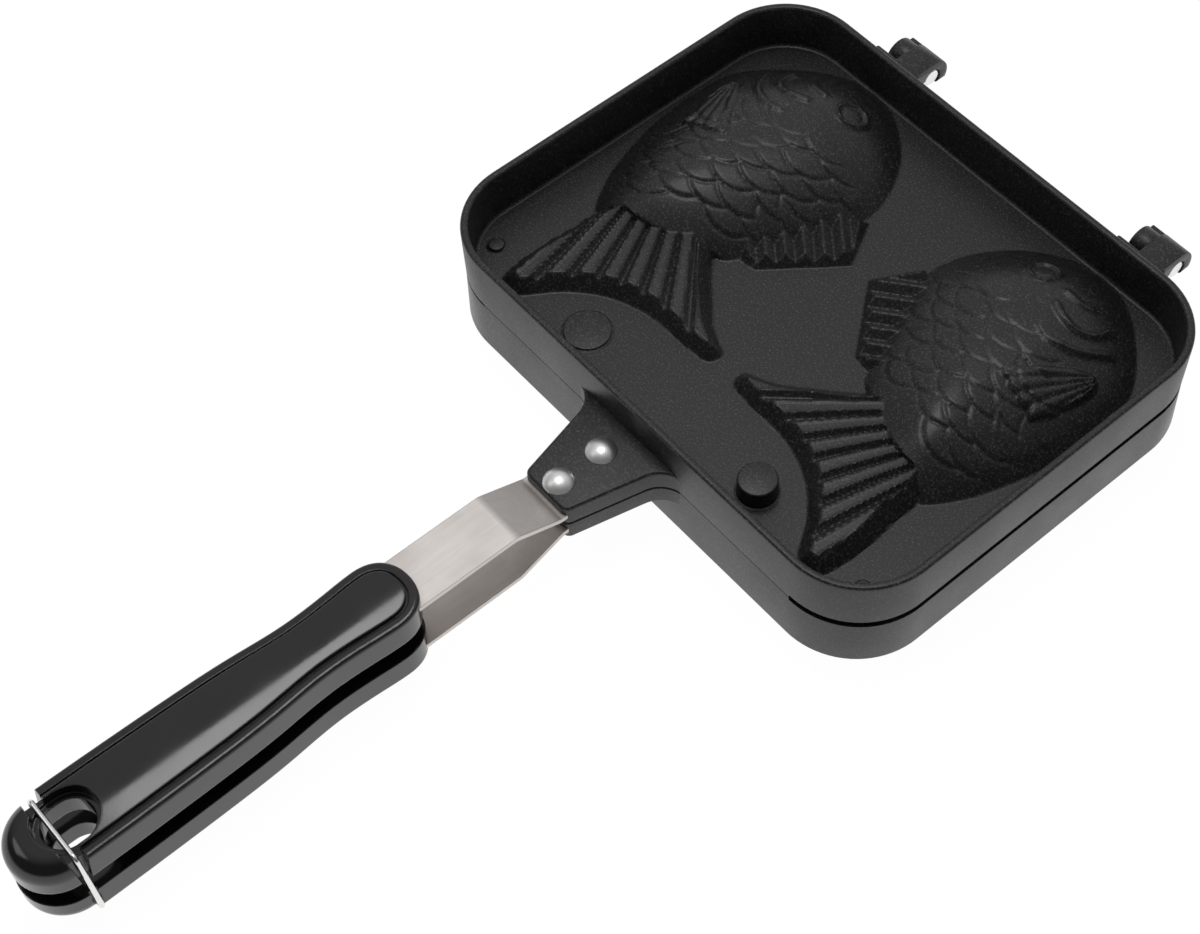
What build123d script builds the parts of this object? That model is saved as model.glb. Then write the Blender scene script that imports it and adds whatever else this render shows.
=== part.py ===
from build123d import *
import os
from math import sqrt

# Hinged fish-waffle pan: two cast half pans, each with two fish moulds, that close on each
# other, a pair of strip stems with moulded grips, a pin hinge at the back and a wire latch.
#
# Millimetres. The origin is the point on the base plane under the middle of the pans.
# +X runs across the two fish, +Y runs from the handle to the hinge, +Z is up.
#
# Both halves are drawn in a "half frame": z = 0 is the parting plane and +Z points outwards,
# to the half's own rim. place_upper and place_lower put a half-frame shape where it belongs.

# ---------------------------------------------------------------- driving dimensions
# fish moulds and the margins round them, which together set the size of the pans
fish_width = 80.2           # dorsal fin tip to belly
fish_length = 130.3         # tail end to snout
fish_gap = 3.7              # middle of the pan to the dorsal fin tip
belly_margin = 6.1          # belly to the rim's outer edge
snout_margin = 4.4
tail_margin = 8.7
body_height = 14.5          # crest of the fish body above the web
tail_height = 4.2
fin_height = 3.2
mould_skin = 2.6            # wall between a mould and the back of it
mould_draft = 33.0          # degrees
mould_inset = 0.5           # mould outline inside the outline of its back

# half pans
half_height = 18.5          # parting plane to rim
web_thickness = 3.3
rim_radius = 25.0
rim_wall = 2.4
side_flare = 0.3            # rim outside the parting outline
wall_draft = 0.85           # how much thicker the wall is at the web
rim_round = 0.6
vent_width = 2.2            # ledge that leaves the seam open round the edge
vent_right = 1.2            # depth of the ledge in each half
vent_left = 0.45
vent_front = 0.15

# raised marks on the web
stub_radius = 5.75
stub_height = 6.0
disc_radius = 7.0
disc_height = 0.8
mark_offset = 36.0          # stub and disc from the middle
mark_to_front = 15.2        # stub and disc from the front edge
dot_radius = 2.4
dot_height = 1.2
dot_offset = 77.5

# handle lug
lug_length = 29.8           # beyond the pan
lug_end_width = 19.4
lug_root_width = 31.2
lug_height = 7.0
lug_fillet = 9.0
lug_corner = 2.5
lug_round = 1.0
lug_relief = 0.2            # the lugs of the two halves stay this far off the parting plane
lug_sink = 0.2              # lug into the wall at the parting plane

# strip stems
stem_width = 17.1
stem_thickness = 1.6
stem_bend = 4.0             # centre-line radius
stem_seat = 2.6             # parting plane to the strip inside the lug
stem_rise = 8.9             # parting plane to the strip inside the grip
stem_slope_start = 1.0      # beyond the lug
stem_slope_length = 15.0
stem_past_rivet = 6.0       # strip beyond the inner rivet, towards the pan
stem_clearance = 0.15
moulded_clearance = 0.02    # strip in the grip that is moulded round it

# rivets
rivet_radius = 2.3
rivet_head_radius = 4.55
rivet_head_height = 2.1
rivet_tail_radius = 3.5
rivet_tail_height = 0.75
rivet_pitch = 15.0
rivet_from_wall = 9.8
rivet_clearance = 0.05

# grips
grip_gap = 3.7              # parting plane to the grip's inner face
grip_height = 10.6
grip_front = 146.5          # from the middle of the pan to the front end
grip_length = 122.7
nose_half_width = 10.9
nose_length = 10.8
nose_fullness = 0.62        # how square the nose is, between 0.55 (an ellipse) and 1
grip_side = [(0.15, 10.5), (0.28, 9.9), (0.41, 11.1), (0.54, 11.8), (0.67, 12.1)]    # share, half width
tail_radius = 12.3
side_wall_height = 8.2
shoulder_height = 9.3
panel_inset = 3.6           # side of the grip to the crowned panel
groove_width = 0.9
groove_depth = 0.8
crown_radius = 60.0
hole_width = 16.0
hole_length = 18.0
hole_step = 1.8             # the bore is this much smaller all round than its mouth
hole_step_depth = 4.0
hole_to_tail = 17.4         # tail to the middle of the hanging hole
hole_to_stem = 2.0          # wall between the hanging hole and the strip's end
anchor_radius = 2.6         # hole in the strip that the grip's material runs through
anchor_to_stem_end = 14.0
anchor_pitch = 40.0
tail_round = 5.5            # edge rounding behind the latch
tail_drop = 0.5             # tail below the crown of the panel

# hinge
hinge_reach = 16.35         # pan edge to the hinge axis
hinge_spread = 50.5         # middle of the pan to the middle of a lug
pin_radius = 3.2
pin_fit = 0.06              # radial play in the hook
pin_press = 0.02
pin_recess = 0.4            # pin end behind the hook's end face
block_width = 17.5
block_reach = 9.0
block_height = 6.3
block_round = 2.0
block_gap = 0.5
ear_inset = 1.2             # side of the block to the ear
ear_width = 5.6
ear_radius = 5.2
ear_heel = 6.3
ear_heel_top = 2.0
hook_width = 9.5
hook_radius = 6.4
hook_drop = 2.8             # how far the hook's back reaches below the axis
hook_gap = 0.4              # between the hook and the ear

# wire latch
wire_radius = 0.75
wire_bend = 1.8
latch_height = 22.6         # pivot to the top bar
latch_top_width = 21.0
latch_foot_width = 28.2
latch_pivot_to_tail = 13.4
latch_pivot_depth = 10.4    # parting plane to the pivot, into the lower half
latch_foot_end = 9.1        # middle to the end of each turned-in foot
latch_clearance = 0.3
notch_top_width = 6.2       # notch in the grips for the wire, along the grip
notch_side_width = 2.3      # the same at the seam between the grips
pivot_fit = 0.05

# ---------------------------------------------------------------- derived places
pan_width = 2 * (fish_gap + fish_width + belly_margin)
pan_length = tail_margin + fish_length + snout_margin
front_edge = -pan_length / 2
back_edge = pan_length / 2
lug_end = front_edge - lug_length
grip_start = -grip_front
grip_end = grip_start - grip_length
hole_y = grip_end + hole_to_tail
latch_y = grip_end + latch_pivot_to_tail
latch_z = half_height - latch_pivot_depth
hinge_y = back_edge + hinge_reach
stem_inner_end = front_edge - rivet_from_wall + stem_past_rivet
stem_outer_end = hole_y + hole_length / 2 + hole_to_stem
rivet_places = [front_edge - rivet_from_wall - rivet_pitch * step for step in range(2)]
anchor_places = [stem_outer_end + anchor_to_stem_end + anchor_pitch * step for step in range(2)]
merge = 1.0                 # how far joined shapes reach into each other
reach_past = half_height + grip_height      # cutting shapes run this far past what they cut


def place_upper(shape):
    """Half frame to the upper half of the maker."""
    return Pos(0, 0, half_height) * shape


def place_lower(shape):
    """Half frame to the lower half: turned over about the parting plane."""
    return Pos(0, 0, half_height) * mirror(shape, about=Plane.XY)


def block(x_low, x_high, y_low, y_high, z_low, z_high):
    """A box given by its two corners."""
    size = (x_high - x_low, y_high - y_low, z_high - z_low)
    middle = ((x_low + x_high) / 2, (y_low + y_high) / 2, (z_low + z_high) / 2)
    return Pos(*middle) * Box(*size)


def spread_x(profile, x_low, x_high):
    """Extrude a sketch, drawn as (y, z), along X from x_low to x_high."""
    return Pos(x_low, 0, 0) * extrude(Plane.YZ * profile, x_high - x_low)


# ---------------------------------------------------------------- fish
# Fish outlines are given as shares of the fish: across, 0 at the dorsal fin tip and 1 at the
# belly, and along, 0 at the tail end and 1 at the snout.
body_sections = [
    # along, dorsal side, belly side, share of the crest height
    (0.300, 0.602, 0.814, 0.36),
    (0.361, 0.421, 0.891, 0.56),
    (0.437, 0.284, 0.943, 0.75),
    (0.545, 0.207, 0.984, 0.91),
    (0.652, 0.148, 1.000, 0.99),
    (0.760, 0.127, 0.995, 1.00),
    (0.852, 0.178, 0.930, 0.88),
    (0.929, 0.290, 0.809, 0.62),
    (0.978, 0.421, 0.683, 0.31),
    (1.000, 0.515, 0.602, 0.09),
]
dorsal_fin_outline = [
    (0.099, 0.724),
    (0.000, 0.610),
    (0.113, 0.519),
    (0.217, 0.439),
    (0.282, 0.433),
    (0.370, 0.460),
    (0.300, 0.700),
]
tail_dorsal_edge = [(0.365, 0.399), (0.197, 0.303), (0.019, 0.236)]
tail_tip = [(0.019, 0.236), (0.008, 0.212), (0.034, 0.188)]
tail_trailing_edge = [(0.034, 0.188), (0.228, 0.184), (0.453, 0.149), (0.596, 0.080), (0.688, 0.001)]
tail_ventral_tip = (0.788, 0.003)
tail_ventral_edge = [tail_ventral_tip, (0.813, 0.138), (0.802, 0.284)]


def fish_point(across, along):
    """A point of the fish on the +X side of the pan."""
    return (fish_gap + across * fish_width, front_edge + tail_margin + along * fish_length)


def body_segment(along, dorsal, belly, height, base, sink, inset):
    """One slice across the body: a low arch on a base line, closed below by a shallow strip."""
    x_low, y = fish_point(dorsal, along)
    x_high = fish_point(belly, along)[0] - inset
    x_low = x_low + inset
    lines = [
        Line((x_low, y, base - sink), (x_low, y, base)),
        ThreePointArc((x_low, y, base), ((x_low + x_high) / 2, y, base + height), (x_high, y, base)),
        Line((x_high, y, base), (x_high, y, base - sink)),
        Line((x_high, y, base - sink), (x_low, y, base - sink)),
    ]
    return Face(Wire(lines))


def fish_body(base, sink, inset, height_change):
    """Lofted body, wide and domed in the middle and running out at snout and tail."""
    slices = []
    for along, dorsal, belly, height_share in body_sections:
        height = height_share * (body_height + height_change)
        slices.append(body_segment(along, dorsal, belly, height, base, sink, inset))
    return loft(slices)


def tail_face():
    """Fan of the tail, from its root under the body to its two tips."""
    dorsal = ThreePointArc(*[fish_point(*point) for point in tail_dorsal_edge])
    tip = ThreePointArc(*[fish_point(*point) for point in tail_tip])
    trailing = Spline(*[fish_point(*point) for point in tail_trailing_edge])
    ventral_tip = Line(trailing @ 1, fish_point(*tail_ventral_tip))
    ventral = ThreePointArc(*[fish_point(*point) for point in tail_ventral_edge])
    root = Line(ventral @ 1, dorsal @ 0)
    return make_face(Wire([dorsal, tip, trailing, ventral_tip, ventral, root]))


def fin_face():
    """Dorsal fin, a slanted patch between the body and the middle of the pan."""
    outline = Polyline(*[fish_point(*point) for point in dorsal_fin_outline], close=True)
    return make_face(outline)


def fish_relief():
    """The fish as it stands up from the web's outer face."""
    body = fish_body(web_thickness, merge, 0, 0)
    tail = Pos(0, 0, web_thickness) * extrude(tail_face(), tail_height, taper=mould_draft)
    fin = Pos(0, 0, web_thickness) * extrude(fin_face(), fin_height, taper=mould_draft)
    return [body, tail, fin]


def fish_mould():
    """The hollow on the parting side, one skin thickness inside the relief."""
    deeper = web_thickness - mould_skin
    body = fish_body(0, merge, mould_inset, deeper)
    tail = extrude(tail_face(), tail_height, taper=mould_draft)
    fin = extrude(fin_face(), fin_height, taper=mould_draft)
    return [body, tail, fin]


def both_sides(shapes):
    """Shapes and their mirror images in the middle plane x = 0."""
    return shapes + [mirror(shape, about=Plane.YZ) for shape in shapes]


# ---------------------------------------------------------------- half pans
def rounded_slab(low_inset, high_inset, z_low, z_high):
    """Slab with rounded corners whose outline is inset from the rim by different amounts."""
    outlines = []
    for inset, z in ((low_inset, z_low), (high_inset, z_high)):
        outline = RectangleRounded(pan_width - 2 * inset, pan_length - 2 * inset, rim_radius - inset)
        outlines.append(Pos(0, 0, z) * outline)
    return loft(outlines)


def pan_shell():
    """Flat web at the parting plane with a flared wall round it."""
    shell = rounded_slab(side_flare, 0, 0, half_height)
    tray = rounded_slab(rim_wall + wall_draft, rim_wall, web_thickness, half_height)
    shell = shell - tray
    rim_edges = shell.edges().group_by(Axis.Z)[-1]
    return fillet(rim_edges, rim_round)


def web_marks():
    """Raised stub and disc near the front edge, and a small dot in each front corner."""
    y = front_edge + mark_to_front
    marks = [
        Pos(mark_offset, y, web_thickness - merge) * extrude(Circle(stub_radius), stub_height + merge),
        Pos(-mark_offset, y, web_thickness - merge) * extrude(Circle(disc_radius), disc_height + merge),
    ]
    for side in (-1, 1):
        dot = extrude(Circle(dot_radius), dot_height + merge)
        marks.append(Pos(side * dot_offset, y, web_thickness - merge) * dot)
    return marks


def seam_vents():
    """Shallow ledges round the parting face, which leave the seam open between the halves."""
    inner = vent_width + side_flare
    ring = rounded_slab(-reach_past, -reach_past, -merge, vent_right)
    ring = ring - rounded_slab(inner, inner, -2 * merge, half_height)
    straight = pan_width / 2 - rim_radius
    left = block(-pan_width, -straight, -pan_length, pan_length, vent_left, half_height)
    front = block(-straight, straight, -pan_length, 0, vent_front, half_height)
    return ring - left - front


def handle_lug():
    """Flat lug on the front wall, with concave fillets to the wall and a slot for the stem."""
    flange = lug_root_width / 2 + lug_fillet + merge
    wall_y = front_edge + side_flare + lug_sink
    back_y = wall_y + 2 * merge
    points = [
        (-flange, back_y),
        (-flange, wall_y),
        (-lug_root_width / 2, wall_y),
        (-lug_end_width / 2, lug_end),
        (lug_end_width / 2, lug_end),
        (lug_root_width / 2, wall_y),
        (flange, wall_y),
        (flange, back_y),
    ]
    outline = make_face(Polyline(*points, close=True))
    end_corners = outline.vertices().group_by(Axis.Y)[0]
    outline = fillet(end_corners, lug_corner)
    roots = [v for v in outline.vertices() if abs(abs(v.X) - lug_root_width / 2) < 0.01]
    outline = fillet(roots, lug_fillet)
    lug = Pos(0, 0, lug_relief) * extrude(outline, lug_height - lug_relief)
    top_edges = lug.edges().group_by(Axis.Z)[-1]
    outer_edges = [edge for edge in top_edges if edge.center().Y < wall_y - lug_sink / 2]
    return fillet(outer_edges, lug_round)


def stem_slot():
    """Room for the strip in the lug, open at the parting side, with its rivet holes."""
    half_width = stem_width / 2 + stem_clearance
    roof = stem_seat + stem_thickness
    slot = block(-half_width, half_width, lug_end - merge, stem_inner_end + stem_clearance, -merge, roof)
    holes = []
    for y in rivet_places:
        holes.append(Pos(0, y, 0) * Cylinder(rivet_radius + rivet_clearance, 2 * reach_past))
    return [slot] + holes


def hinge_block(middle):
    """Block on the back wall that carries a hook or an ear."""
    low = middle - block_width / 2
    inner_y = back_edge - side_flare - merge
    shape = block(low, low + block_width, inner_y, back_edge + block_reach, block_gap, block_height)
    outer_edges = shape.edges().filter_by(Axis.X).group_by(Axis.Y)[-1]
    return fillet(outer_edges.sort_by(Axis.Z)[-1], block_round)


def half_pan():
    """What the two halves have in common, in the half frame."""
    pan = pan_shell()
    pan = pan.fuse(*both_sides(fish_relief()))
    pan = pan.fuse(*web_marks(), handle_lug())
    for middle in (-hinge_spread, hinge_spread):
        pan = pan + hinge_block(middle)
    pan = pan.cut(*both_sides(fish_mould()))
    return pan.cut(seam_vents(), *stem_slot())


# Both hinge lugs have their ear on the -X side and their hook on the +X side of it.
def ear_span(middle):
    """X range of the ear of the hinge lug at middle."""
    low = middle - block_width / 2 + ear_inset
    return low, low + ear_width


def hook_span(middle):
    """X range of the hook beside that ear."""
    low = ear_span(middle)[1] + hook_gap
    return low, low + hook_width


def hinge_hook(middle):
    """Hook of the upper half, open below, that rides on the hinge pin."""
    round_part = Pos(hinge_y, 0) * Circle(hook_radius)
    neck = Pos((back_edge + hinge_y) / 2, (block_gap + hook_radius) / 2) * Rectangle(
        hinge_y - back_edge, hook_radius - block_gap
    )
    pin_hole = Pos(hinge_y, 0) * Circle(pin_radius + pin_fit)
    mouth_width = 4 * hook_radius
    tip_level = Pos(hinge_y, -hook_drop - mouth_width / 2) * Rectangle(2 * mouth_width, mouth_width)
    mouth = Pos(hinge_y - mouth_width / 2 + pin_radius / 2, block_gap - mouth_width / 2) * Rectangle(
        mouth_width, mouth_width
    )
    profile = round_part + neck - pin_hole - tip_level - mouth
    return spread_x(profile, *hook_span(middle))


def hinge_ear(middle):
    """Ear of the lower half that holds the pin, drawn with z counted upwards."""
    round_part = Pos(hinge_y, 0) * Circle(ear_radius)
    heel = Pos(hinge_y + ear_heel / 2, (ear_heel_top - block_height) / 2) * Rectangle(
        ear_heel, ear_heel_top + block_height
    )
    neck = Pos((back_edge + hinge_y) / 2, -(block_height + block_gap) / 2) * Rectangle(
        hinge_y - back_edge, block_height - block_gap
    )
    pin_hole = Pos(hinge_y, 0) * Circle(pin_radius + pin_press)
    profile = round_part + heel + neck - pin_hole
    return spread_x(profile, *ear_span(middle))


def hinge_pin(middle):
    """Steel pin, pressed in the ear, with its free end showing in the hook."""
    low = ear_span(middle)[0]
    high = hook_span(middle)[1] - pin_recess
    pin = Pos((low + high) / 2, hinge_y, half_height) * Rot(0, 90, 0) * Cylinder(pin_radius, high - low)
    ends = pin.edges().filter_by(GeomType.CIRCLE)
    return chamfer(ends, rim_round)


def upper_pan():
    """Upper half: the common casting with two hinge hooks."""
    pan = half_pan()
    for middle in (-hinge_spread, hinge_spread):
        pan = pan + hinge_hook(middle)
    return place_upper(pan)


def lower_pan():
    """Lower half: the common casting, turned over, with two hinge ears."""
    pan = place_lower(half_pan())
    for middle in (-hinge_spread, hinge_spread):
        pan = pan + place_upper(hinge_ear(middle))
    return pan


# ---------------------------------------------------------------- stems and rivets
def stem():
    """Flat strip that leaves the lug low, slopes out and runs on inside the grip."""
    low = stem_seat + stem_thickness / 2
    high = stem_rise + stem_thickness / 2
    bend_start = lug_end - stem_slope_start
    path = FilletPolyline(
        (stem_inner_end, low),
        (bend_start, low),
        (bend_start - stem_slope_length, high),
        (stem_outer_end, high),
        radius=stem_bend,
    )
    strip = spread_x(trace(path, stem_thickness), -stem_width / 2, stem_width / 2)
    for y in rivet_places:
        strip = strip - Pos(0, y, 0) * Cylinder(rivet_radius + rivet_clearance, 2 * reach_past)
    for y in anchor_places:
        strip = strip - Pos(0, y, 0) * Cylinder(anchor_radius, 2 * reach_past)
    return strip


def rivet(y):
    """Domed rivet through the lug's roof and the strip, spread flat under the strip."""
    seat = lug_height
    tail_top = stem_seat
    dome = (rivet_head_radius**2 + rivet_head_height**2) / (2 * rivet_head_height)
    half_out = rivet_head_radius / 2
    rise = rivet_head_height - dome + sqrt(dome**2 - half_out**2)
    profile = make_face(
        Wire([
            Line((0, tail_top - rivet_tail_height), (rivet_tail_radius, tail_top - rivet_tail_height)),
            Line((rivet_tail_radius, tail_top - rivet_tail_height), (rivet_tail_radius, tail_top)),
            Line((rivet_tail_radius, tail_top), (rivet_radius, tail_top)),
            Line((rivet_radius, tail_top), (rivet_radius, seat)),
            Line((rivet_radius, seat), (rivet_head_radius, seat)),
            ThreePointArc(
                (rivet_head_radius, seat), (half_out, seat + rise), (0, seat + rivet_head_height)
            ),
            Line((0, seat + rivet_head_height), (0, tail_top - rivet_tail_height)),
        ])
    )
    return Pos(0, y, 0) * revolve(Plane.XZ * profile, Axis.Z)


# ---------------------------------------------------------------- grips
def grip_outline(inset):
    """Plan of the grip: a full nose, a waist, a wide palm and a round tail."""
    nose_half = nose_half_width - inset
    nose_tip = grip_start - inset
    nose_root = grip_start - nose_length
    reach = nose_fullness * (nose_tip - nose_root)
    nose = Bezier(
        (0, nose_tip), (nose_fullness * nose_half, nose_tip), (nose_half, nose_root + reach),
        (nose_half, nose_root),
    )
    tail_half = tail_radius - inset
    tail_middle = grip_end + tail_radius
    side_points = [(half - inset, grip_start - share * grip_length) for share, half in grip_side]
    side = Spline(
        (nose_half, nose_root), *side_points, (tail_half, tail_middle), tangents=[(0, -1), (0, -1)]
    )
    tail = CenterArc((0, tail_middle), tail_half, -90, 90)
    edges = []
    for curve in (nose, side, tail):
        edges.append(curve.edge())
        edges.append(mirror(curve, about=Plane.YZ).edge())
    return make_face(edges)


def grip_solid():
    """Side wall, rounded shoulder, groove and crowned panel, in the half frame."""
    wall = Pos(0, 0, grip_gap) * extrude(grip_outline(0), shoulder_height)
    rim = wall.edges().group_by(Axis.Z)[-1]
    wall = fillet(rim, shoulder_height - side_wall_height)
    groove_floor = grip_gap + shoulder_height - groove_depth
    groove = Pos(0, 0, groove_floor) * extrude(grip_outline(panel_inset - groove_width), grip_height)
    panel = Pos(0, 0, grip_gap) * extrude(grip_outline(panel_inset), grip_height)
    crown = Pos(0, (grip_start + grip_end) / 2, grip_gap + grip_height - crown_radius) * (
        Rot(90, 0, 0) * Cylinder(crown_radius, grip_length + reach_past)
    )
    return wall - groove + (panel & crown)


def hanging_hole():
    """Rounded hole near the tail, with a wider mouth on the outer side."""
    bore = SlotOverall(hole_length - 2 * hole_step, hole_width - 2 * hole_step, rotation=90)
    mouth = SlotOverall(hole_length, hole_width, rotation=90)
    mouth_floor = grip_gap + grip_height - hole_step_depth
    through = extrude(Pos(0, hole_y) * bore, 2 * reach_past, both=True)
    wide = Pos(0, 0, mouth_floor) * extrude(Pos(0, hole_y) * mouth, reach_past)
    return [through, wide]


def stem_pocket():
    """Room for the strip inside the grip, with plugs that reach through the strip's holes."""
    half_width = stem_width / 2 + moulded_clearance
    low = stem_rise - moulded_clearance
    high = stem_rise + stem_thickness + moulded_clearance
    end = stem_outer_end - moulded_clearance
    pocket = block(-half_width, half_width, end, grip_start + merge, low, high)
    for y in anchor_places:
        pocket = pocket - Pos(0, y, 0) * Cylinder(anchor_radius - moulded_clearance, 2 * reach_past)
    return pocket


def tail_solid():
    """Tail of the grip behind the latch, with a broad rounding the wire can ride over."""
    tail = Pos(0, 0, grip_gap) * extrude(grip_outline(0), grip_height - tail_drop)
    tail = fillet(tail.edges().group_by(Axis.Z)[-1], tail_round)
    return tail & block(-pan_width, pan_width, grip_end - merge, latch_y, 0, half_height)


def grip():
    """One grip in the half frame, without the notch for the latch."""
    front = grip_solid() & block(-pan_width, pan_width, latch_y, 0, 0, half_height)
    return (front + tail_solid()).cut(*hanging_hole(), stem_pocket())


def latch_notch():
    """Notch for the wire round the sides and over the top of the closed grips."""
    top = latch_z + latch_height + notch_top_width
    side_half = notch_side_width / 2
    top_half = notch_top_width / 2
    slot = make_face(
        Polyline(
            (latch_y - side_half, latch_z),
            (latch_y - side_half, half_height),
            (latch_y - top_half, top),
            (latch_y + top_half, top),
            (latch_y + side_half, half_height),
            (latch_y + side_half, latch_z),
            close=True,
        )
    )
    cut = spread_x(slot, -pan_width, pan_width)
    inner = wire_radius + latch_clearance
    core = make_face(
        Polyline(
            (-latch_foot_width / 2 + inner, 0),
            (-latch_top_width / 2 + inner, latch_z + latch_height - inner),
            (latch_top_width / 2 - inner, latch_z + latch_height - inner),
            (latch_foot_width / 2 - inner, 0),
            close=True,
        )
    )
    return cut - extrude(Plane.XZ * core, 2 * pan_length, both=True)


def upper_grip():
    return place_upper(grip()) - latch_notch()


def lower_grip():
    """Lower grip, with a blind hole in each side for the latch's feet."""
    body = place_lower(grip()) - latch_notch()
    for side in (-1, 1):
        hole = Rot(0, 90, 0) * Cylinder(wire_radius + pivot_fit, reach_past)
        middle = side * (latch_foot_end - latch_clearance + reach_past / 2)
        body = body - Pos(middle, latch_y, latch_z) * hole
    return body


# ---------------------------------------------------------------- latch
def latch_wire():
    """Bent wire: a top bar, two legs that spread downwards and two turned-in feet."""
    foot_x = latch_foot_width / 2
    top_x = latch_top_width / 2
    top_z = latch_z + latch_height
    path = FilletPolyline(
        (-latch_foot_end, latch_y, latch_z),
        (-foot_x, latch_y, latch_z),
        (-top_x, latch_y, top_z),
        (top_x, latch_y, top_z),
        (foot_x, latch_y, latch_z),
        (latch_foot_end, latch_y, latch_z),
        radius=wire_bend,
    )
    start = Plane(origin=path @ 0, z_dir=path % 0)
    return sweep(start * Circle(wire_radius), path=path)


# ---------------------------------------------------------------- write the parts
def main():
    nodes = {
        "upper_pan": upper_pan(),
        "lower_pan": lower_pan(),
        "upper_stem": place_upper(stem()),
        "lower_stem": place_lower(stem()),
        "upper_grip": upper_grip(),
        "lower_grip": lower_grip(),
        "latch_wire": latch_wire(),
        "left_hinge_pin": hinge_pin(-hinge_spread),
        "right_hinge_pin": hinge_pin(hinge_spread),
    }
    for name, y in zip(("inner", "outer"), rivet_places):
        nodes[f"upper_{name}_rivet"] = place_upper(rivet(y))
        nodes[f"lower_{name}_rivet"] = place_lower(rivet(y))
    os.makedirs("parts", exist_ok=True)
    for name, shape in nodes.items():
        export_step(shape, f"parts/{name}.step")


main()
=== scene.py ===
import bpy
import math
import numpy as np
from mathutils import Matrix, Vector


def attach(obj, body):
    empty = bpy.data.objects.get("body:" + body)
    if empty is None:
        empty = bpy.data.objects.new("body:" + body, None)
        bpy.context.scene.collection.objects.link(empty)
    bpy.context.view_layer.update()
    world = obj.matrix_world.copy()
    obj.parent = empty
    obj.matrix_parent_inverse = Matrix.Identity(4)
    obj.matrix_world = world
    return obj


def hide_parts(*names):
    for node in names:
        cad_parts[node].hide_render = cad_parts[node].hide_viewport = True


# Fish-waffle pan: the two castings are drawn here with their carved fish, the other pieces keep
# the frame's own meshes. Castings are drawn in a "half frame" in millimetres: z = 0 is the parting
# plane and +Z points outwards, to the half's own rim.

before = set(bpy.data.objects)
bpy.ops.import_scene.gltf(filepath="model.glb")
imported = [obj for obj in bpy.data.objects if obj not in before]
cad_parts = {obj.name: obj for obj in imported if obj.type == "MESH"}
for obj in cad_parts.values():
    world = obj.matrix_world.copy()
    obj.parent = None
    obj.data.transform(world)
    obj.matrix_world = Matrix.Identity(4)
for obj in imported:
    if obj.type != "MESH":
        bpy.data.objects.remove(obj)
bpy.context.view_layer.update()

MM = 0.001
HALF_HEIGHT = 18.5          # parting plane to rim
HALF_WIDTH = 89.98          # a hair inside the 90 mm of the frame
HALF_LENGTH = 71.7
CORNER = 25.0
WEB = 3.3
RIM_WALL = 2.4
WALL_DRAFT = 0.85
FLARE = 0.3                 # rim outside the parting outline
RIM_ROUND = 0.85
FLOOR_ROUND = 1.3           # web to wall, inside
LEDGE = 2.5                 # inset of the parting face, which leaves the seam open
WALL_LAP = 0.2              # the wall's foot ends this far inside the web's edge
WEB_MIDDLE = 1.6            # a level within the web, where the wall's surface runs unseen
FLOOR_DIP = 0.04            # the fillet ends this far below the web's top
SEAM_LEFT = 0.45            # depth of the ledge on the -X side
SEAM_FRONT = 0.15           # along the front, where the halves look nearly closed
SEAM_REST = 1.2
FINE_GRID = 0.45            # spacing of the carved web, upper half
COARSE_GRID = 1.0           # the same in the lower half
SHARP_ANGLE = 38            # edges sharper than this, in degrees, stay crisp
HAIR = 0.02                 # keeps two surfaces out of one plane


# ---------------------------------------------------------------- curves and heights
def smooth_loop(points, steps=6):
    """Closed curve through the points."""
    here = np.array(points, float)
    before, after, beyond = (np.roll(here, shift, 0)[:, None, :] for shift in (1, -1, -2))
    here = here[:, None, :]
    t = (np.arange(steps) / steps)[None, :, None]
    curve = 2 * here + (after - before) * t
    curve = curve + (2 * before - 5 * here + 4 * after - beyond) * t**2
    curve = curve + (3 * here - before - 3 * after + beyond) * t**3
    return curve.reshape(-1, 2) / 2


def smooth_open(points, steps=5):
    """Open curve through the points."""
    first, last = np.array(points[0], float), np.array(points[-1], float)
    padded = [2 * first - np.array(points[1])] + list(points) + [2 * last - np.array(points[-2])]
    loop = smooth_loop(padded, steps)
    return loop[steps:-2 * steps + 1]


def distance_to_line(x, y, points, closed=False):
    """Distance to a polyline."""
    points = np.array(points, float)
    ends = np.roll(points, -1, 0) if closed else points[1:]
    best = np.full(x.shape, 1e9)
    for (ax, ay), (bx, by) in zip(points, ends):
        ex, ey = bx - ax, by - ay
        t = np.clip(((x - ax) * ex + (y - ay) * ey) / (ex * ex + ey * ey + 1e-12), 0, 1)
        best = np.minimum(best, (x - ax - t * ex) ** 2 + (y - ay - t * ey) ** 2)
    return np.sqrt(best)


def depth_inside(x, y, outline):
    """Distance to a closed outline, negative outside it."""
    inside = np.zeros(x.shape, bool)
    for (ax, ay), (bx, by) in zip(outline, np.roll(outline, -1, 0)):
        crosses = (ay > y) != (by > y)
        if ay != by:
            inside ^= crosses & (x < ax + (y - ay) * (bx - ax) / (by - ay))
    return np.where(inside, 1, -1) * distance_to_line(x, y, outline, closed=True)


def ramp(value, low, high):
    """Smooth step from 0 at low to 1 at high."""
    t = np.clip((value - low) / (high - low), 0, 1)
    return t * t * (3 - 2 * t)


def blurred(height, radius):
    """Soft copy of a height map, radius in samples."""
    reach = int(3 * radius)
    weights = np.exp(-0.5 * (np.arange(-reach, reach + 1) / radius) ** 2)
    weights = weights / weights.sum()
    for axis in (0, 1):
        height = np.apply_along_axis(np.convolve, axis, height, weights, "same")
    return height


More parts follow.
